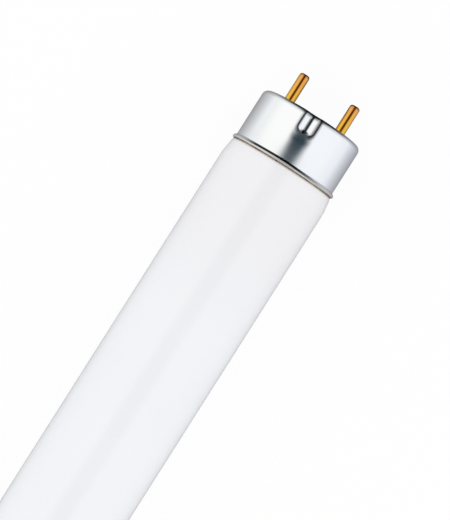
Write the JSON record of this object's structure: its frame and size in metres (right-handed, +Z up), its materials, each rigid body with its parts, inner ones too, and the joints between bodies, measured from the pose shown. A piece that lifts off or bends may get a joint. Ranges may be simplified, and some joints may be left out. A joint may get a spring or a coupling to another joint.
{
  "type": "fluorescent tube",
  "caption": "Straight fluorescent lamp: a sealed white-coated glass tube with an aluminium two-pin cap cemented on each end.",
  "frame": {"origin": "middle of the lamp, on its axis", "axes": "+X along the lamp to the right cap's pins; +Y through both pins of a cap; +Z up, through the dents of the caps"},
  "size_m": [0.604, 0.0254, 0.0254],
  "materials": {
    "coated_glass": "clear glass over a white phosphor coat, opaque and glossy",
    "drawn_aluminium": "polished, deep drawn",
    "moulded_phenolic": "moulded brown phenolic, slightly satin",
    "basing_cement": "baked tan basing cement, matte and grainy",
    "pin_brass": "drawn brass, lightly worn",
    "lead_wire": "nickel plated wire"
  },
  "bodies": {
    "root": {"glass_tube": "coated_glass", "right_cap_shell": "drawn_aluminium", "right_base_plate": "moulded_phenolic", "right_cement_ring": "basing_cement", "right_pin_front": "pin_brass", "right_pin_back": "pin_brass", "right_lead_wire_front": "lead_wire", "right_lead_wire_back": "lead_wire", "left_cap_shell": "drawn_aluminium", "left_base_plate": "moulded_phenolic", "left_cement_ring": "basing_cement", "left_pin_front": "pin_brass", "left_pin_back": "pin_brass", "left_lead_wire_front": "lead_wire", "left_lead_wire_back": "lead_wire"}
  },
  "joints": []
}
